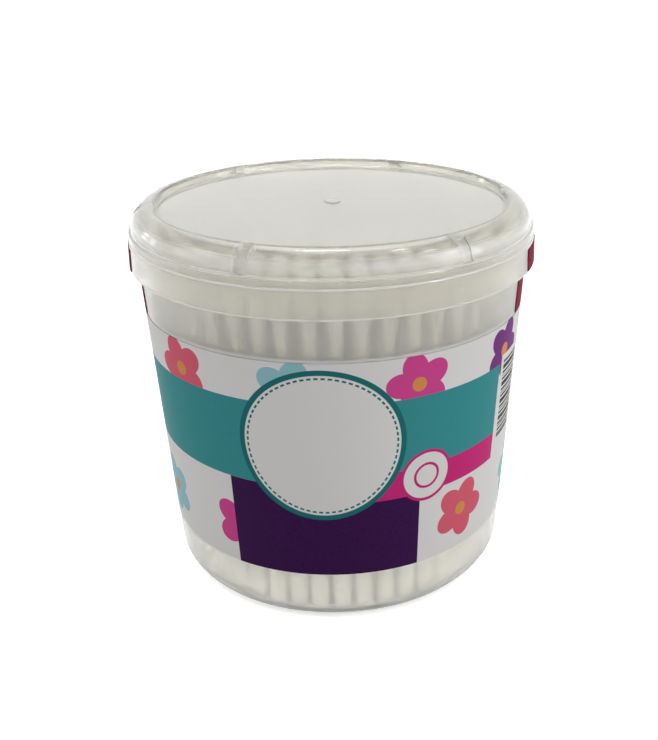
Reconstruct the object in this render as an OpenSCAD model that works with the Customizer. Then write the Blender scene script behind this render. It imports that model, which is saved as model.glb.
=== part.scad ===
// Round tub of cotton swabs: tapered cup, press-on lid, wrap label, two seal strips and about 200 swabs.
// Millimetres, +Z up. The origin is the middle of the foot, on the surface that the tub stands on.
// The front of the label faces -Y.

/* [Swabs] */
// Length of one swab from end to end
swab_len = 75; // [60:0.5:90]
// Greatest diameter of a cotton tip
tip_d = 4.3; // [3:0.05:5.5]
// Length of cotton along the stick
tip_len = 13; // [8:0.5:18]
// Diameter of the paper stick
stick_d = 2.3; // [1.6:0.1:2.6]
// Depth of cotton past the end of the stick
tip_cover = 2; // [1.2:0.1:3]
// Free space between neighbouring tips at the floor
tip_gap = 0.1; // [0.02:0.01:0.5]
// Free space between a swab and the side wall
wall_gap = 0.35; // [0.2:0.05:1.5]
// How far the top of a swab strays from an even spread
stray = 0.3; // [0:0.05:0.35]

/* [Tub] */
// Outer radius of the side wall, carried straight down to the base
base_r = 36.75; // [30:0.25:45]
// Widening of the radius for each millimetre of height
wall_lean = 0.058; // [0.04:0.002:0.1]
// Thickness of the side wall
wall_t = 0.8; // [0.6:0.05:1.4]
// Thickness of the floor
floor_t = 0.9; // [0.6:0.05:1.6]
// Height of the foot ring under the floor
foot_h = 0.6; // [0.4:0.05:1.5]
// Width of the foot ring that touches the table
foot_w = 2.4; // [1.5:0.1:4]
// Outer radius of the rounded corner between wall and foot
corner_r = 5; // [4:0.1:7]
// How far the rim stands out from the wall
rim_out = 0.2; // [0.15:0.05:0.8]
// Height of the rim band
rim_h = 1.3; // [1:0.1:3]
// Headroom between the swabs and the underside of the lid panel
head_room = 2.65; // [2.5:0.05:8]

/* [Lid] */
// Thickness of the lid
lid_t = 0.75; // [0.6:0.05:1.1]
// Depth of the skirt below the rim top
skirt_h = 7; // [5:0.1:12]
// Free space between the rim and the inside of the skirt
skirt_gap = 0.25; // [0.15:0.05:0.4]
// Outward flare of the skirt down to its lower edge
skirt_flare = 0.15; // [0:0.05:0.6]
// Running space between the rim and the snap bead
bead_gap = 0.08; // [0.05:0.01:0.12]
// Height of the shoulder above the rim top
shoulder_h = 5.3; // [5:0.1:9]
// Radius of the rounded top of the shoulder
shoulder_r = 4.4; // [3:0.1:4.6]
// Inward draft of the shoulder below its rounding, in degrees
shoulder_draft = 12; // [4:1:20]
// Depth of the recessed panel below the ridge
recess_d = 1.4; // [0.8:0.05:2]
// Number of stop ribs round the shoulder
rib_count = 6; // [3:1:12]
// Width of a stop rib
rib_w = 2; // [1:0.1:4]
// Depth of the groove that each rib shows outside
groove_d = 0.3; // [0.1:0.05:0.4]
// Direction of the first rib from the front, in degrees
rib_turn = -24; // [-36:1:36]
// Diameter of the gate mark in the middle of the panel
gate_d = 3.2; // [1.5:0.1:6]

/* [Label and seals] */
// Thickness of the label and of the seal film
film_t = 0.12; // [0.08:0.01:0.25]
// Bare wall between the table and the lower edge of the label
label_low = 12.3; // [9:0.1:20]
// Bare wall between the upper edge of the label and the lid
label_drop = 9; // [5:0.1:20]
// Width of the butt joint in the label, at the back
label_seam = 0.4; // [0.2:0.1:2]
// Width of a seal strip
seal_w = 22; // [8:0.5:26]
// Direction of the right seal strip from the front, in degrees
right_turn = 81; // [60:1:110]
// Direction of the left seal strip from the front, in degrees
left_turn = -88; // [-110:1:-60]
// Bare skirt between the top of a seal strip and the ledge
seal_drop = 0.9; // [0.1:0.05:2]

/* [Hidden] */

round_fn = 180;
swab_fn = 24;
front = -90;      // direction of the front, from +X
lean_angle = atan(wall_lean);
edge_r = 0.3;     // small rounding on rims and lower edges
glue = 0.02;      // space between a film and what it is stuck to
slip = 0.02;      // space between a stick and the bore of its cotton
seat = 0.05;      // space between the rim and the seat of the lid
tear = 0.25;      // width of the torn line between the two halves of a seal
ledge_in = 0.35;  // width of the ledge over the skirt
ledge_dip = 0.2;  // how far the outer edge of the ledge stands in from the skirt
bead_drop = 0.4;  // height of the rim's lower edge over the middle of the snap bead
bead_h = 0.8;     // height of the snap bead
crest_r = 0.5;    // rounding from the ridge into the recess
recess_draft = 0.25;  // widening of the recess from its panel up to the ridge

// Heights
floor_z = foot_h + floor_t;
panel_under_z = floor_z + swab_len + head_room;
ridge_z = panel_under_z + lid_t + recess_d;
tub_h = ridge_z - shoulder_h;
rim_low_z = tub_h - rim_h;
skirt_low_z = tub_h - skirt_h;
ledge_z = tub_h + seat + 0.6 * lid_t;
label_top_z = skirt_low_z - label_drop;

function wall_r(z) = base_r + wall_lean * z;
function inner_r(z) = wall_r(z) - wall_t;

// Points on an arc about [cx, cz] from angle a0 to a1, in steps
function arc(cx, cz, r, a0, a1, steps = 8) =
    [for (i = [0:steps]) let (a = a0 + (a1 - a0) * i / steps) [cx + r * cos(a), cz + r * sin(a)]];

// Centre of a corner of radius r that touches a wall and a floor at height z0
function corner_x(r, z0, shift) =
    base_r - shift + wall_lean * (z0 + r * (1 - sin(lean_angle))) - r * cos(lean_angle);

// Tub rim
rim_r = wall_r(tub_h) + rim_out;

// Lid radii
seat_r = rim_r + skirt_gap;
skirt_top_r = seat_r + lid_t;
skirt_low_r = skirt_top_r + skirt_flare;
shoulder_low_r = skirt_top_r - ledge_in - ledge_dip;
shoulder_cz = ridge_z - shoulder_r;
draft_z = shoulder_cz + shoulder_r * sin(shoulder_draft);
shoulder_cx = shoulder_low_r - (draft_z - ledge_z) * tan(shoulder_draft)
    - shoulder_r * cos(shoulder_draft);
inner_low_r = shoulder_low_r - lid_t;
panel_z = ridge_z - recess_d;
recess_r = shoulder_cx - crest_r - recess_draft;

module turn_to(angle) {
    rotate([0, 0, front + angle]) children();
}

// A piece of a turned profile, wide enough to span `width` at radius r, centred on +X
module sector(width, r) {
    half = asin(width / 2 / r);
    rotate([0, 0, -half]) rotate_extrude(angle = 2 * half, $fn = round_fn) children();
}

// The tub

module tub_profile() {
    outer_cx = corner_x(corner_r, 0, 0);
    inner_corner = corner_r - wall_t;
    inner_cx = corner_x(inner_corner, floor_z, wall_t);
    foot_in = outer_cx - foot_w;
    polygon(concat(
        [[0, foot_h], [foot_in - edge_r, foot_h], [foot_in, 0]],
        arc(outer_cx, corner_r, corner_r, -90, -lean_angle),
        [[wall_r(rim_low_z - 2 * rim_out), rim_low_z - 2 * rim_out],
         [rim_r, rim_low_z]],
        arc(rim_r - edge_r, tub_h - edge_r, edge_r, 0, 90, 3),
        arc(inner_r(tub_h) + edge_r, tub_h - edge_r, edge_r, 90, 180, 3),
        arc(inner_cx, floor_z + inner_corner, inner_corner, -lean_angle, -90),
        [[0, floor_z]]
    ));
}

module tub() {
    gate_h = foot_h / 2;
    color("gainsboro") union() {
        rotate_extrude($fn = round_fn) tub_profile();
        translate([0, 0, foot_h - gate_h]) cylinder(d = gate_d, h = gate_h + floor_t / 2, $fn = 48);
    }
}

// The lid

module lid_profile() {
    bead_r = rim_r + bead_gap;
    bead_z = rim_low_z - bead_drop;
    seat_z = tub_h + seat;
    step = 0.12;
    lean = 0.08;
    polygon(concat(
        arc(skirt_low_r - edge_r, skirt_low_z + edge_r, edge_r, -90, 0, 3),
        [[skirt_top_r, rim_low_z],
         [skirt_top_r - step, rim_low_z + step],
         [skirt_top_r - step - lean, ledge_z - step],
         [skirt_top_r - ledge_dip - step, ledge_z],
         [shoulder_low_r, ledge_z]],
        arc(shoulder_cx, shoulder_cz, shoulder_r, shoulder_draft, 90, 10),
        arc(shoulder_cx, ridge_z - crest_r, crest_r, 105, 180, 4),
        arc(recess_r - edge_r, panel_z + edge_r, edge_r, 0, -90, 3),
        [[0, panel_z], [0, panel_under_z],
         [recess_r - lid_t, panel_under_z]],
        arc(shoulder_cx, shoulder_cz, shoulder_r - lid_t, 90, shoulder_draft, 8),
        [[inner_low_r, ledge_z],
         [inner_low_r, seat_z],
         [seat_r, seat_z],
         [seat_r, bead_z + bead_h / 2],
         [bead_r, bead_z + bead_h / 5],
         [bead_r, bead_z - bead_h / 5],
         [seat_r, bead_z - bead_h / 2],
         [skirt_low_r - lid_t, skirt_low_z + edge_r],
         [skirt_low_r - lid_t + edge_r / 2, skirt_low_z]]
    ));
}

// Band just under the outer face of the shoulder, from the ledge to its rounded top
module groove_profile() {
    proud = 1;
    groove_top = 62;
    groove_low_z = ledge_z + 0.2;
    polygon(concat(
        [[shoulder_low_r + proud, groove_low_z]],
        arc(shoulder_cx, shoulder_cz, shoulder_r + proud, shoulder_draft, groove_top, 5),
        arc(shoulder_cx, shoulder_cz, shoulder_r - groove_d, groove_top, shoulder_draft, 5),
        [[shoulder_low_r - groove_d, groove_low_z]]
    ));
}

// Web inside the shoulder, just above the rim
module rib_profile() {
    web = 0.6;
    web_low_z = tub_h + 3 * seat;
    sunk_r = shoulder_r - lid_t / 2 - groove_d / 2;
    polygon(concat(
        [[inner_low_r + lid_t / 2, web_low_z],
         [inner_low_r - web, web_low_z],
         [recess_r + lid_t / 3, panel_z + lid_t / 2]],
        arc(shoulder_cx, shoulder_cz, sunk_r, 90, shoulder_draft, 5)
    ));
}

module lid() {
    gate_h = 0.25;
    color("whitesmoke") difference() {
        union() {
            rotate_extrude($fn = round_fn) lid_profile();
            for (i = [0:rib_count - 1])
                turn_to(rib_turn + i * 360 / rib_count) sector(rib_w, inner_low_r) rib_profile();
            translate([0, 0, panel_z - lid_t / 2]) cylinder(d = gate_d, h = lid_t / 2 + gate_h, $fn = 48);
        }
        for (i = [0:rib_count - 1])
            turn_to(rib_turn + i * 360 / rib_count) sector(rib_w, shoulder_low_r) groove_profile();
    }
}

// The label and the seals

// Thin skin on the tub wall between two heights
module wall_skin(z0, z1) {
    polygon([[wall_r(z0) + glue, z0], [wall_r(z0) + glue + film_t, z0],
             [wall_r(z1) + glue + film_t, z1], [wall_r(z1) + glue, z1]]);
}

module label() {
    gap = 2 * asin(label_seam / 2 / wall_r(label_top_z));
    color("white") rotate([0, 0, front + 180 + gap / 2])
        rotate_extrude(angle = 360 - gap, $fn = round_fn) wall_skin(label_low, label_top_z);
}

module seal_lid_profile() {
    top_z = rim_low_z - seal_drop;
    low_z = skirt_low_z + edge_r;
    low_r = skirt_low_r + glue;
    top_r = skirt_low_r + glue + (skirt_top_r - skirt_low_r) * (top_z - low_z) / (rim_low_z - low_z);
    polygon([[low_r, low_z], [low_r + film_t, low_z], [top_r + film_t, top_z], [top_r, top_z]]);
}

// Up the wall, then out under the edge of the skirt
module seal_tub_profile() {
    low_z = label_top_z + tear;
    lip_z = skirt_low_z - tear;
    bend_z = lip_z - 1;
    lip_r = skirt_low_r - edge_r;
    foot_r = wall_r(low_z) + glue;
    bend_r = wall_r(bend_z) + glue;
    polygon([[foot_r, low_z], [foot_r + film_t, low_z], [bend_r + film_t, bend_z],
             [lip_r, lip_z - film_t], [lip_r, lip_z], [bend_r, bend_z + film_t]]);
}

module seal_lid(angle) {
    color("mediumvioletred") turn_to(angle) sector(seal_w, skirt_low_r) seal_lid_profile();
}

module seal_tub(angle) {
    color("mediumvioletred") turn_to(angle) sector(seal_w, skirt_low_r) seal_tub_profile();
}

module seal_right_lid() { seal_lid(right_turn); }
module seal_right_tub() { seal_tub(right_turn); }
module seal_left_lid() { seal_lid(left_turn); }
module seal_left_tub() { seal_tub(left_turn); }

// The swabs stand in rings, packed from the wall inwards, and spread out towards the top

tip_end_r = 0.94 * tip_d / 2;   // radius of the rounded end of the cotton
tip_wide = 0.4 * tip_len;       // distance of the widest place from the end
ring_step = tip_d + tip_gap + 0.01;
group_total = 4;                // the rings are kept in four groups, from the wall inwards
wedge_lift = 0.55;              // the outer ring rides this high on the rounded corner

// Farthest out that the end of a swab fits in the rounded corner
function corner_reach() =
    let (r = corner_r - wall_t,
         room = r - tip_end_r - 0.1,
         drop = r - tip_end_r - wedge_lift,
         reach = sqrt(max(0, room * room - drop * drop)))
    min(corner_x(r, floor_z, wall_t) + reach,
        inner_r(floor_z + tip_wide) - tip_d / 2 - wall_gap);

outer_ring = corner_reach();
top_wide_z = floor_z + wedge_lift + swab_len - tip_wide;
top_ring = inner_r(min(top_wide_z, tub_h)) - tip_d / 2 - wall_gap - stray;
spread = (top_ring - outer_ring) / (1 - tip_wide / swab_len);
ring_total = floor(outer_ring / ring_step) + 1;

// A ring that is too small for two swabs is the one in the middle
function ring_r(k) = let (r = outer_ring - k * ring_step) r < (tip_d + tip_gap) / 2 ? 0 : r;
function ring_swabs(k) =
    ring_r(k) == 0 ? 1 : floor(180 / asin((tip_d + tip_gap) / 2 / ring_r(k)));

// A repeatable value between -1 and 1 for swab i of ring k
function scatter(i, k, salt) = sin(97 * i + 53 * k + salt + 31 * sin(61 * i + salt));

// Puts its children at every swab of a group, with +Z along the swab and the origin at its lower end
module each_swab(group) {
    for (k = [0:ring_total - 1])
        if (floor(k * group_total / ring_total) == group)
            for (i = [0:ring_swabs(k) - 1]) {
                out = spread * ring_r(k) / outer_ring + stray * scatter(i, k, 10);
                along = stray * scatter(i, k, 200);
                lift = (k == 0 ? wedge_lift : 0) + stray * (1 + scatter(i, k, 80)) / 2;
                rotate([0, 0, front + 360 * i / ring_swabs(k) + 25 * k])
                    translate([ring_r(k), 0, floor_z + lift])
                        rotate([0, asin(norm([out, along]) / swab_len), atan2(along, out)])
                            children();
            }
}

module stick() {
    translate([0, 0, tip_cover])
        cylinder(d = stick_d, h = swab_len - 2 * tip_cover, $fn = swab_fn);
}

// Wound cotton: a round end, a slight swelling and a taper to the stick
module cotton_tip() {
    bore = stick_d / 2 + slip;
    neck_r = bore + 0.15;
    waist_r = 0.9 * tip_d / 2;
    waist_z = 0.7 * tip_len;
    rotate_extrude($fn = swab_fn) difference() {
        union() {
            intersection() {
                translate([0, tip_end_r]) circle(r = tip_end_r);
                square(tip_end_r);
            }
            polygon([[0, tip_end_r],
                     [tip_end_r, tip_end_r],
                     [tip_d / 2, tip_wide],
                     [waist_r, waist_z],
                     [neck_r, tip_len],
                     [0, tip_len]]);
        }
        translate([0, tip_cover - slip]) square([bore, tip_len]);
    }
}

module swab_sticks(group) {
    color("ivory") each_swab(group) stick();
}

module cotton_bottom(group) {
    color("white") each_swab(group) cotton_tip();
}

module cotton_top(group) {
    color("white") each_swab(group) translate([0, 0, swab_len]) rotate([180, 0, 0]) cotton_tip();
}

tub();
lid();
label();
seal_right_lid();
seal_right_tub();
seal_left_lid();
seal_left_tub();
swab_sticks(0);  // swab_sticks_outer
swab_sticks(1);  // swab_sticks_second
swab_sticks(2);  // swab_sticks_third
swab_sticks(3);  // swab_sticks_core
cotton_top(0);  // cotton_top_outer
cotton_top(1);  // cotton_top_second
cotton_top(2);  // cotton_top_third
cotton_top(3);  // cotton_top_core
cotton_bottom(0);  // cotton_bottom_outer
cotton_bottom(1);  // cotton_bottom_second
cotton_bottom(2);  // cotton_bottom_third
cotton_bottom(3);  // cotton_bottom_core
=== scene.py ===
"""Cotton swab tub: the finishes, the wound cotton, the printed label and a plain studio."""

import math

import bmesh
import bpy
from mathutils import Matrix, Vector, noise


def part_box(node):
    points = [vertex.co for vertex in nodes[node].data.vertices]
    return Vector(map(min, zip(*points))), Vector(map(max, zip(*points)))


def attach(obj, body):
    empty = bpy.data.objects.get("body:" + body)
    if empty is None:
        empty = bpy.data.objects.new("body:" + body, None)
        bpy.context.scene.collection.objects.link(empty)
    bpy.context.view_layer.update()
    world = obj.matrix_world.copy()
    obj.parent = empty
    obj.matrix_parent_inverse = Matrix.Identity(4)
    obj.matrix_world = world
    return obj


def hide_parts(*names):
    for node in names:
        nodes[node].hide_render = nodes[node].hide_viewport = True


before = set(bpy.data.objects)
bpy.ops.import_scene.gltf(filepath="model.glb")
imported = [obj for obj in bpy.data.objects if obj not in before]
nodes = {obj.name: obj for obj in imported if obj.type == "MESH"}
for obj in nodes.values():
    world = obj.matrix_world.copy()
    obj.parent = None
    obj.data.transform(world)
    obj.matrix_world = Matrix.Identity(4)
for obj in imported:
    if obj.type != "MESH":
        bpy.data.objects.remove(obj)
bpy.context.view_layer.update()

MM = 0.001
MERGE = 1e-3 * MM  # points closer than this are one point
SWAB_GROUPS = ("outer", "second", "third", "core")


def linear(red, green, blue):
    """The linear colour of an sRGB colour given from 0 to 255."""
    return tuple(((c / 255 + 0.055) / 1.055) ** 2.4 if c > 10 else c / 3295 for c in (red, green, blue))


# Shader maths


class Wire:
    """A shader socket with arithmetic: an expression on wires adds its Math nodes."""

    def __init__(self, finish, socket):
        self.finish = finish
        self.socket = socket

    def math(self, operation, *values):
        return self.finish.add("ShaderNodeMath", {"operation": operation}, dict(enumerate(values)))

    def __add__(self, other):
        return self.math("ADD", self, other)

    def __radd__(self, other):
        return self.math("ADD", other, self)

    def __sub__(self, other):
        return self.math("SUBTRACT", self, other)

    def __rsub__(self, other):
        return self.math("SUBTRACT", other, self)

    def __mul__(self, other):
        return self.math("MULTIPLY", self, other)

    def __truediv__(self, other):
        return self.math("DIVIDE", self, other)

    def __neg__(self):
        return self.math("MULTIPLY", self, -1.0)

    def __abs__(self):
        return self.math("ABSOLUTE", self)

    def fract(self):
        return self.math("FRACT", self)

    def whole(self):
        return self.math("ROUND", self)

    def root(self):
        return self.math("SQRT", self)

    def sine(self):
        return self.math("SINE", self)

    def cosine(self):
        return self.math("COSINE", self)

    def angle_from(self, along):
        """The angle, in radians, of the point that lies this far up and so far along."""
        return self.math("ARCTAN2", self, along)

    def within(self, limit, soft):
        """1 where the wire is under a limit, 0 where it is over, with an edge that is soft wide."""
        return self.finish.add("ShaderNodeClamp", {}, {"Value": (limit - self) / soft + 0.5})


class Finish:
    """A material that is written as expressions on wires."""

    def __init__(self, name):
        self.material = bpy.data.materials.new(name)
        self.material.use_nodes = True
        self.tree = self.material.node_tree
        self.tree.nodes.clear()

    def add(self, kind, settings, values, out=0):
        """Adds a node, gives it its settings and then its socket values, and returns one output."""
        made = self.tree.nodes.new(kind)
        for name, value in settings.items():
            setattr(made, name, value)
        for name, value in values.items():
            if isinstance(value, Wire):
                self.tree.links.new(value.socket, made.inputs[name])
            else:
                made.inputs[name].default_value = value
        return Wire(self, made.outputs[out]) if made.outputs else None

    def place(self):
        """The object coordinates, as one vector."""
        return self.add("ShaderNodeTexCoord", {}, {}, "Object")

    def axes(self, vector):
        """The x, y and z of a vector, in millimetres."""
        parts = [self.add("ShaderNodeSeparateXYZ", {}, {"Vector": vector}, axis) for axis in "XYZ"]
        return [part * (1 / MM) for part in parts]

    def scaled(self, vector, scale):
        """A vector stretched by a scale for each axis."""
        return self.add("ShaderNodeMapping", {}, {"Vector": vector, "Scale": scale})

    def grain(self, vector, scale, detail=2.0, roughness=0.5):
        """Noise from 0 to 1."""
        values = {"Vector": vector, "Scale": scale, "Detail": detail, "Roughness": roughness}
        return self.add("ShaderNodeTexNoise", {}, values)

    def steps(self, share, colours):
        """One of some colours, each with an equal part of the way from 0 to 1."""
        chosen = self.add("ShaderNodeValToRGB", {}, {"Fac": share})
        ramp = chosen.socket.node.color_ramp
        ramp.interpolation = "CONSTANT"
        while len(ramp.elements) > 1:
            ramp.elements.remove(ramp.elements[-1])
        for i, colour in enumerate(colours):
            stop = ramp.elements[0] if i == 0 else ramp.elements.new(i / len(colours))
            stop.position = i / len(colours)
            stop.color = (*colour, 1.0)
        return chosen

    def mix(self, share, first, second):
        """The colour between two colours."""
        made = self.tree.nodes.new("ShaderNodeMix")
        made.data_type = "RGBA"
        for index, value in ((0, share), (6, first), (7, second)):
            if isinstance(value, Wire):
                self.tree.links.new(value.socket, made.inputs[index])
            else:
                made.inputs[index].default_value = value if index == 0 else (*value, 1.0)
        return Wire(self, made.outputs[2])

    def bump(self, height, distance):
        """A normal from a height of 0 to 1, which stands for a distance."""
        return self.add("ShaderNodeBump", {}, {"Height": height, "Distance": distance, "Strength": 1.0})

    def shader(self, **values):
        """A Principled shader, with its sockets named by keyword."""
        named = {name.replace("_", " "): value for name, value in values.items()}
        return self.add("ShaderNodeBsdfPrincipled", {}, named)

    def blended(self, share, first, second):
        """The shader between two shaders."""
        return self.add("ShaderNodeMixShader", {}, {0: share, 1: first, 2: second})

    def ended(self, shader):
        """The finished material."""
        self.add("ShaderNodeOutputMaterial", {}, {"Surface": shader})
        return self.material


# Finishes


def natural_plastic(name, roughness, haze, tint, tones, edges, clouded=(), ribs=None):
    """Milky natural polypropylene: part clear, part cloudy and whiter at ribs and gate, with painted
    highlight lines along its edges.

    Each edge band (a painted highlight line) and each clouded band is a height, half its width and its soft
    border, in millimetres, and a strength from 0 to 1.
    """
    finish = Finish(name)
    vector = finish.place()
    x, y, z = finish.axes(vector)
    from_axis = (x * x + y * y).root()
    gate_r, gate_soft, gate_haze = 1.8, 0.2, 0.5
    cloud_haze = 0.12

    def bands(levels):
        total = 0.0
        for height, half, soft, strength in levels:
            total = abs(z - height).within(half, soft) * strength + total
        return total

    ripple = finish.grain(finish.scaled(vector, (90, 90, 35)), 1.0)
    cloud = finish.grain(vector, 70.0)
    gate = from_axis.within(gate_r, gate_soft)
    share = haze + (cloud - 0.5) * cloud_haze + gate * gate_haze + bands(clouded)
    if ribs:
        count = ribs["count"]
        along = x.angle_from(-y) * (count / (2 * math.pi)) - ribs["first"] * count / 360
        degrees_off = abs(along - along.whole()) * (360 / count)
        outside = 1.0 - from_axis.within(ribs["inner_r"], 0.5)
        above = 1.0 - z.within(ribs["low_z"], 0.4)
        share = share + degrees_off.within(ribs["half"], 0.3) * outside * above * ribs["strength"]
    shine = dict(
        Coat_Weight=0.8,
        Coat_Roughness=0.06,
        Coat_IOR=1.5,
        Normal=finish.bump(ripple, 0.03 * MM),
    )
    clear = finish.shader(
        Base_Color=(*tint, 1.0),
        Roughness=roughness + cloud * 0.06,
        IOR=1.25,
        Transmission_Weight=1.0,
        **shine,
    )
    milky = finish.shader(
        Base_Color=finish.mix(cloud, *tones),
        Roughness=0.5,
        IOR=1.25,
        Subsurface_Weight=1.0,
        Subsurface_Radius=(1.0, 1.0, 1.0),
        Subsurface_Scale=1.6 * MM,
        **shine,
    )
    body = finish.blended(share, clear, milky)
    # A near-white shader laid over the edge bands: painted highlight lines where light would catch the edges.
    painted_highlight = finish.shader(Base_Color=(0.97, 0.97, 0.95, 1.0), Roughness=0.4, **shine)
    return finish.ended(finish.blended(bands(edges), body, painted_highlight))


def printed_label(name):
    """Coated paper with a plain print: blossoms, a band, a panel, a strip, a bare roundel and bars."""
    finish = Finish(name)
    vector = finish.place()
    x, y, z = finish.axes(vector)
    low, high = (corner.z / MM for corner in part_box("label"))
    radius = 39.2  # of the label, half way up
    u = x.angle_from(-y) * radius  # distance round the label from its front
    sharp = 0.09  # soft border of the print

    white = (0.8, 0.79, 0.775)
    teal = linear(56, 146, 150)
    dark_teal = linear(24, 112, 114)
    purple = linear(54, 6, 72)
    pink = linear(206, 40, 124)
    blossoms = (linear(150, 200, 208), linear(214, 72, 148), linear(120, 44, 128), linear(222, 96, 118))
    orange = linear(222, 150, 80)
    ink = linear(40, 38, 42)
    print_colour = white

    def paint(mask, colour):
        nonlocal print_colour
        print_colour = finish.mix(mask, print_colour, colour)

    def reach(du, dv):
        return (du * du + dv * dv).root()

    def bar(position, middle, half):
        return abs(position - middle).within(half, sharp)

    # Blossoms in two rows, half a pitch apart
    blossom_count, first_u, heart_r = 10, 9.0, 1.5
    pitch = 2 * math.pi * radius / blossom_count
    rows = ((high - 6.0, first_u, 6.6), (low + 9.5, first_u + pitch / 2, 6.9))
    for row_z, shift, size in rows:
        along = (u + shift) / pitch
        column = along.whole()
        du, dv = (along - column) * pitch, z - row_z
        petals = abs((dv.angle_from(du) * 2.5 + column * 1.7).cosine())
        choice = ((column + 20.0) / 4.0 + 0.05 + shift * 0.02).fract()
        outline = petals * (0.34 * size) + 0.68 * size
        paint(reach(du, dv).within(outline, sharp), finish.steps(choice, blossoms))
        paint(reach(du, dv).within(heart_r, sharp), orange)

    # Band, ending at the bars, and a panel under it
    middle = -3.2  # of the panel and the roundel
    band_low, band_high, band_end = low + 20.9, high - 8.7, 38.6
    band_z, band_half = (band_low + band_high) / 2, (band_high - band_low) / 2
    paint(bar(z, band_z, band_half) * u.within(band_end, sharp), teal)
    panel_half = 19.9
    paint(bar(u, middle, panel_half) * z.within(band_low, sharp), purple)

    # Strip along the lower edge of the band, with a disc on it
    strip_z, strip_half, disc_u, disc_r = band_low - 0.8, 3.1, 18.1, 5.9
    strip = bar(z, strip_z, strip_half) * bar(u, (band_end + middle) / 2, (band_end - middle) / 2)
    paint(strip, pink)
    disc = reach(u - disc_u, z - band_low)
    for share, colour in ((1.0, pink), (0.88, white), (0.5, pink), (0.4, white)):
        paint(disc.within(share * disc_r, sharp), colour)

    # Bare roundel with a stitched ring
    round_r, rim_w, stitch_in, stitch_half, stitches = 16.5, 1.1, 1.75, 0.2, 72
    from_middle = reach(u - middle, z - band_z)
    around = (z - band_z).angle_from(u - middle)
    paint(from_middle.within(round_r, sharp), dark_teal)
    paint(from_middle.within(round_r - rim_w, sharp), white)
    dash = abs((around * (stitches / (2 * math.pi))).fract() - 0.5).within(0.31, 0.06)
    paint(bar(from_middle, round_r - stitch_in, stitch_half) * dash, dark_teal)

    # Plain bars on a white patch at the side
    bars_u, bars_half, bars_tall, patch_edge = 44.8, 4.2, 9.4, 1.2
    patch = bar(u, bars_u, bars_half + patch_edge) * bar(z, band_z, bars_tall + patch_edge)
    paint(patch, white)
    beat = (z * 4.7).sine() + (z * 7.9 + 1.0).sine()
    bars = (-beat).within(0.15, 0.2) * bar(u, bars_u, bars_half)
    paint(bars * bar(z, band_z, bars_tall), ink)

    speck = finish.grain(vector, 2600.0, detail=1.0)
    paper = finish.shader(
        Base_Color=finish.mix(speck * 0.015, print_colour, (0.9, 0.9, 0.9)),
        Roughness=0.4 + speck * 0.12,
        IOR=1.1,
        Normal=finish.bump(speck, 0.02 * MM),
    )
    return finish.ended(paper)


def seal_film(name):
    """Thin tinted film, a little crinkled where it is pressed on."""
    finish = Finish(name)
    crinkle = finish.grain(finish.scaled(finish.place(), (260, 260, 140)), 1.0, detail=3.0)
    film = finish.shader(
        Base_Color=finish.mix(crinkle, linear(118, 12, 42), linear(150, 26, 62)),
        Roughness=0.6,
        IOR=1.1,
        Normal=finish.bump(crinkle, 0.1 * MM),
    )
    return finish.ended(film)


def stick_paper(name):
    """White paper rolled into a stick."""
    finish = Finish(name)
    fibre = finish.grain(finish.scaled(finish.place(), (2500, 2500, 250)), 1.0)
    paper = finish.shader(
        Base_Color=finish.mix(fibre, (0.76, 0.7, 0.56), (0.87, 0.82, 0.69)),
        Roughness=0.7 + fibre * 0.15,
        Normal=finish.bump(fibre, 0.03 * MM),
    )
    return finish.ended(paper)


def wound_cotton(name):
    """Soft white cotton, wound crosswise."""
    finish = Finish(name)
    vector = finish.place()
    fluff = finish.grain(vector, 900.0, detail=4.0, roughness=0.6)
    patch = finish.grain(vector, 130.0)
    winding = finish.grain(finish.scaled(vector, (500, 500, 2600)), 1.0, detail=3.0)
    paleness = fluff * 0.3 + patch * 3.0 - 1.15
    fibre = finish.shader(
        Base_Color=finish.mix(paleness, (0.82, 0.79, 0.71), (0.97, 0.965, 0.94)),
        Roughness=0.95,
        Sheen_Weight=0.4,
        Sheen_Roughness=0.5,
        Normal=finish.bump(fluff + winding, 0.12 * MM),
    )
    return finish.ended(fibre)


# Pieces


def object_of(name, mesh, material):
    """An object with the faces of a bmesh, which is used up, and one material."""
    data = bpy.data.meshes.new(name)
    mesh.to_mesh(data)
    mesh.free()
    data.materials.append(material)
    piece = bpy.data.objects.new(name, data)
    bpy.context.scene.collection.objects.link(piece)
    return piece


def merged(node):
    """A bmesh copy of a CAD node, with its loose triangles joined."""
    mesh = bmesh.new()
    mesh.from_mesh(nodes[node].data)
    bmesh.ops.remove_doubles(mesh, verts=mesh.verts, dist=MERGE)
    return mesh


def in_place_of(piece, node, body):
    """Shows a piece instead of a CAD node, on the body of that node."""
    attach(piece, body)
    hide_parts(node)


def stick_axes(node):
    """The lower and upper end of every stick in a node, each the middle of that end."""
    mesh = merged(node)
    mesh.verts.index_update()
    seen, axes = set(), []
    for first in mesh.verts:
        if first.index in seen:
            continue
        seen.add(first.index)
        stack, island = [first], []
        while stack:
            vertex = stack.pop()
            island.append(vertex.co.copy())
            for edge in vertex.link_edges:
                other = edge.other_vert(vertex)
                if other.index not in seen:
                    seen.add(other.index)
                    stack.append(other)
        middle = sum(co.z for co in island) / len(island)
        ends = [[co for co in island if (co.z > middle) == upper] for upper in (False, True)]
        axes.append([sum(end, Vector()) / len(end) for end in ends])
    mesh.free()
    return sorted(axes, key=lambda axis: tuple(axis[0]))


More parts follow.
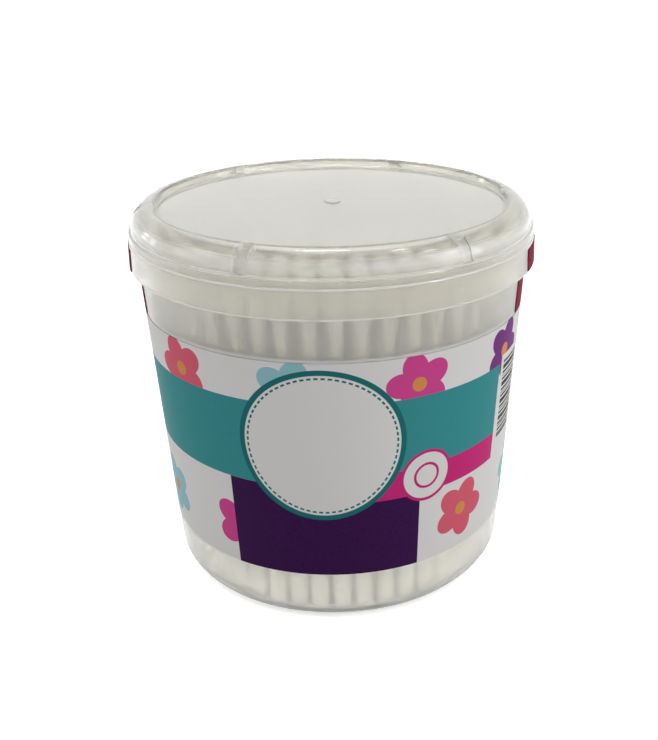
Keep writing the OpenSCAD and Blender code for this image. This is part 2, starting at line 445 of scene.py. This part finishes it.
def tip_template(widest, length, neck):
    """One cotton tip on the Z axis: round end at the origin, slight swelling, taper to the stick."""
    end = 0.94 * widest
    outline = [(0, 0)]
    outline += [(end * math.sin(a), end * (1 - math.cos(a))) for a in map(math.radians, (32, 62, 90))]
    outline += [(widest, 0.4 * length), (0.91 * widest, 0.7 * length), (0.74 * widest, 0.88 * length)]
    outline += [(neck, length), (0, length)]
    mesh = bmesh.new()
    points = [mesh.verts.new((r, 0, z)) for r, z in outline]
    edges = [mesh.edges.new(pair) for pair in zip(points, points[1:])]
    bmesh.ops.spin(
        mesh, geom=points + edges, cent=(0, 0, 0), axis=(0, 0, 1), angle=2 * math.pi, steps=10, use_merge=True
    )
    bmesh.ops.remove_doubles(mesh, verts=mesh.verts, dist=MERGE)
    bmesh.ops.recalc_face_normals(mesh, faces=mesh.faces)

    # Faces in one order, so that each run gives the same mesh
    mesh.verts.index_update()
    faces = []
    for face in mesh.faces:
        corners = [vertex.index for vertex in face.verts]
        first = corners.index(min(corners))
        faces.append(corners[first:] + corners[:first])
    made = bpy.data.meshes.new("tip_template")
    made.from_pydata([vertex.co.copy() for vertex in mesh.verts], [], sorted(faces))
    mesh.free()
    return made


def cotton_tips(group, at_top, template, cover, material):
    """The cotton tips at one end of a group of sticks, each a little lumpy in its own way."""
    node = f"cotton_{'top' if at_top else 'bottom'}_{group}"
    lump_size, lump_depth, turn_each = 420, 0.045, 2.4
    mesh = bmesh.new()
    for number, (low, high) in enumerate(stick_axes(f"swab_sticks_{group}")):
        start, towards = (high, low - high) if at_top else (low, high - low)
        axis = towards.normalized()
        upright = axis.to_track_quat("Z", "Y").to_matrix().to_4x4()
        turn = upright @ Matrix.Rotation(turn_each * number, 4, "Z")
        before = len(mesh.verts)
        mesh.from_mesh(template)
        mesh.verts.ensure_lookup_table()
        added = mesh.verts[before:]
        seed = Vector((3.1 * number, 1.7 * number, 5.0 if at_top else 0.0))
        for vertex in added:
            lump = noise.noise(vertex.co * lump_size + seed)
            shrink = 1 - lump_depth + lump_depth * max(-1.0, min(1.0, 1.6 * lump))
            vertex.co.x *= shrink
            vertex.co.y *= shrink
        bmesh.ops.transform(mesh, matrix=Matrix.Translation(start - axis * cover) @ turn, verts=added)
    for face in mesh.faces:
        face.smooth = True
    piece = object_of(f"wound_{node}", mesh, material)
    in_place_of(piece, node, "tub")


def moulded(node, body, material):
    """A moulded shell as one skin, which shades smoothly over the chords of its curves."""
    piece = object_of(f"moulded_{node}", merged(node), material)
    data = piece.data
    for attribute in [a for a in data.attributes if a.name == "custom_normal"]:
        data.attributes.remove(attribute)
    data.shade_smooth()
    data.set_sharp_from_angle(angle=math.radians(35))
    flats = piece.modifiers.new("flats", "WEIGHTED_NORMAL")
    flats.mode, flats.weight, flats.keep_sharp = "FACE_AREA", 90, True
    in_place_of(piece, node, body)


def dress(node, material):
    """Gives a CAD node its finish."""
    data = nodes[node].data
    data.materials.clear()
    data.materials.append(material)


# Tub and lid

lid_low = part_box("lid")[0].z / MM
label_low, label_high = (corner.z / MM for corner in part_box("label"))
tub_plastic = natural_plastic(
    "tub_plastic",
    roughness=0.45,
    haze=0.2,
    tint=(0.96, 0.952, 0.92),
    tones=((0.64, 0.625, 0.57), (0.72, 0.71, 0.665)),
    # Edges: painted highlight lines along the lower and upper edge of the label.
    edges=((label_low - 0.3, 0.25, 0.2, 0.4), (label_high + 0.3, 0.25, 0.2, 0.5)),
    clouded=((label_high + 10.0, 10.0, 12.0, 0.16),),
)
lid_plastic = natural_plastic(
    "lid_plastic",
    roughness=0.15,
    haze=0.1,
    tint=(0.925, 0.912, 0.855),
    tones=((0.68, 0.68, 0.65), (0.78, 0.78, 0.75)),
    # Edges: painted highlight lines along the skirt's lower edge and two steps, and a broad painted highlight
    # across the shoulder.
    edges=(
        (lid_low, 0.28, 0.1, 0.95),
        (lid_low + 5.7, 0.12, 0.1, 0.6),
        (lid_low + 7.5, 0.15, 0.1, 0.6),
        (lid_low + 9.2, 0.8, 1.6, 0.52),
    ),
    ribs=dict(count=6, first=-24, half=1.9, strength=0.15, inner_r=36.5, low_z=lid_low + 7.7),
)
moulded("tub", "tub", tub_plastic)
moulded("lid", "lid", lid_plastic)

# Label and seals

dress("label", printed_label("label_print"))
film = seal_film("seal_film")
for side in ("right", "left"):
    dress(f"seal_{side}_lid", film)
    dress(f"seal_{side}_tub", film)

# Swabs

TIP_WIDTH, TIP_LENGTH, TIP_NECK = 4.3 * MM, 13 * MM, 1.32 * MM
paper = stick_paper("stick_paper")
cotton = wound_cotton("wound_cotton")
tip_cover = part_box("swab_sticks_core")[0].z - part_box("cotton_bottom_core")[0].z
template = tip_template(TIP_WIDTH / 2, TIP_LENGTH, TIP_NECK)
for group in SWAB_GROUPS:
    dress(f"swab_sticks_{group}", paper)
    for at_top in (False, True):
        cotton_tips(group, at_top, template, tip_cover, cotton)
bpy.data.meshes.remove(template)


# Studio


def studio_floor(pale, glow, painted_shadow_r, painted_shadow_soft):
    """A pale floor that shows white and keeps the shadow, with its glow cut out under the tub as a painted
    shadow.
    """
    finish = Finish("floor")
    x, y = finish.axes(finish.place())[:2]
    rays = ("Camera", "Glossy", "Transmission")
    seen = [finish.add("ShaderNodeLightPath", {}, {}, f"Is {ray} Ray") for ray in rays]
    # Painted shadow: the floor's glow fades out under the tub's foot.
    painted_shadow = (x * x + y * y).root().within(painted_shadow_r, painted_shadow_soft)
    strength = (seen[0] + seen[1] + seen[2]) * glow * (1.0 - painted_shadow)
    cover = finish.add("ShaderNodeBsdfDiffuse", {}, {"Color": (pale, pale, pale, 1.0)})
    light = finish.add("ShaderNodeEmission", {}, {"Strength": strength})
    material = finish.ended(finish.add("ShaderNodeAddShader", {}, {0: cover, 1: light}))
    mesh = bmesh.new()
    bmesh.ops.create_grid(mesh, x_segments=1, y_segments=1, size=3.0)
    object_of("studio_floor", mesh, material)


def studio_world(level):
    """A soft even sky at one level, which the camera sees as white."""
    world = bpy.data.worlds.new("studio")
    bpy.context.scene.world = world
    world.use_nodes = True
    sky, link = world.node_tree.nodes, world.node_tree.links.new
    sky.clear()
    path = sky.new("ShaderNodeLightPath")
    background = sky.new("ShaderNodeBackground")
    out = sky.new("ShaderNodeOutputWorld")
    seen = path.outputs["Is Camera Ray"]
    for ray in ("Is Glossy Ray", "Is Transmission Ray"):
        joined = sky.new("ShaderNodeMath")
        joined.operation = "MAXIMUM"
        link(seen, joined.inputs[0])
        link(path.outputs[ray], joined.inputs[1])
        seen = joined.outputs[0]
    spread = sky.new("ShaderNodeMapRange")
    spread.inputs["To Min"].default_value = level
    spread.inputs["To Max"].default_value = 1.0
    link(seen, spread.inputs["Value"])
    link(spread.outputs[0], background.inputs["Strength"])
    background.inputs["Color"].default_value = (1, 1, 1, 1)
    link(background.outputs[0], out.inputs["Surface"])


def softbox(name, place, aim, width, height, radiance):
    """A rectangular lamp that faces a point."""
    lamp = bpy.data.lights.new(name, "AREA")
    lamp.shape = "RECTANGLE"
    lamp.size, lamp.size_y = width, height
    lamp.energy = radiance * math.pi * width * height
    made = bpy.data.objects.new(name, lamp)
    made.location = place
    made.rotation_mode = "QUATERNION"
    made.rotation_quaternion = (Vector(aim) - Vector(place)).to_track_quat("-Z", "Y")
    made.visible_camera = False
    bpy.context.scene.collection.objects.link(made)


# The floor's glow is cut out within about 33.5 mm of the axis, a painted shadow under the tub.
studio_floor(pale=0.82, glow=0.72, painted_shadow_r=33.5, painted_shadow_soft=5.0)
studio_world(level=0.36)
lid_top = Vector((0.0, 0.0, 0.08))

# Large soft lamps: name, place, width, height and radiance
soft_lamps = (
    ("soft_front", (-0.35, -0.7, 1.15), 0.8, 0.8, 0.5),
    ("soft_top", (0.1, 0.35, 1.3), 0.8, 0.8, 1.1),
    ("side_right", (1.05, -0.3, 0.5), 0.6, 0.8, 2.6),
    ("side_left", (-1.1, -0.1, 0.6), 0.5, 0.8, 1.1),
)
for name, place, width, height, radiance in soft_lamps:
    softbox(name, place, lid_top, width, height, radiance)

# A window of four panes and ceiling lamps, each where the lid's shoulder mirrors it
REACH = 1.2
PANE_WIDTH, PANE_HEIGHT, PANE_RADIANCE = 0.1, 0.09, 5.0
for across in (-0.09, 0.09):
    for up in (0.03, 0.17):
        pane = lid_top + REACH * Vector((-0.86 + 0.5 * across, 0.5 + 0.86 * across, up)).normalized()
        softbox("window_pane", pane, lid_top, PANE_WIDTH, PANE_HEIGHT, PANE_RADIANCE)
CEILING_DEPTH, CEILING_RADIANCE = 0.1, 11.0
ceiling = (
    ((-0.035, 0.439, 0.898), 0.22),
    ((0.311, 0.158, 0.937), 0.16),
    ((0.597, -0.123, 0.793), 0.12),
    ((-0.4, 0.257, 0.88), 0.16),
)
for towards, width in ceiling:
    place = lid_top + REACH * Vector(towards)
    softbox("ceiling_lamp", place, lid_top, width, CEILING_DEPTH, CEILING_RADIANCE)


# Camera

cam_place = Vector((0.0, -207.22, 131.84)) * MM
cam_pitch, cam_yaw, cam_roll = 0.413, 0.057, -0.003
SENSOR = 36.0
LONG_SIDE = 740
FOCAL_PIXELS = 1000.0
SHIFT_PIXELS = 60.0
camera = bpy.data.cameras.new("camera")
camera.sensor_width = SENSOR
camera.lens = FOCAL_PIXELS * SENSOR / LONG_SIDE
camera.shift_x = -SHIFT_PIXELS / LONG_SIDE
camera.clip_start, camera.clip_end = 0.01, 20.0
viewer = bpy.data.objects.new("camera", camera)
viewer.matrix_world = (
    Matrix.Translation(cam_place)
    @ Matrix.Rotation(-cam_yaw, 4, "Z")
    @ Matrix.Rotation(math.pi / 2 - cam_pitch, 4, "X")
    @ Matrix.Rotation(cam_roll, 4, "Z")
)
bpy.context.scene.collection.objects.link(viewer)
bpy.context.scene.camera = viewer
bpy.context.scene.view_settings.view_transform = "Standard"
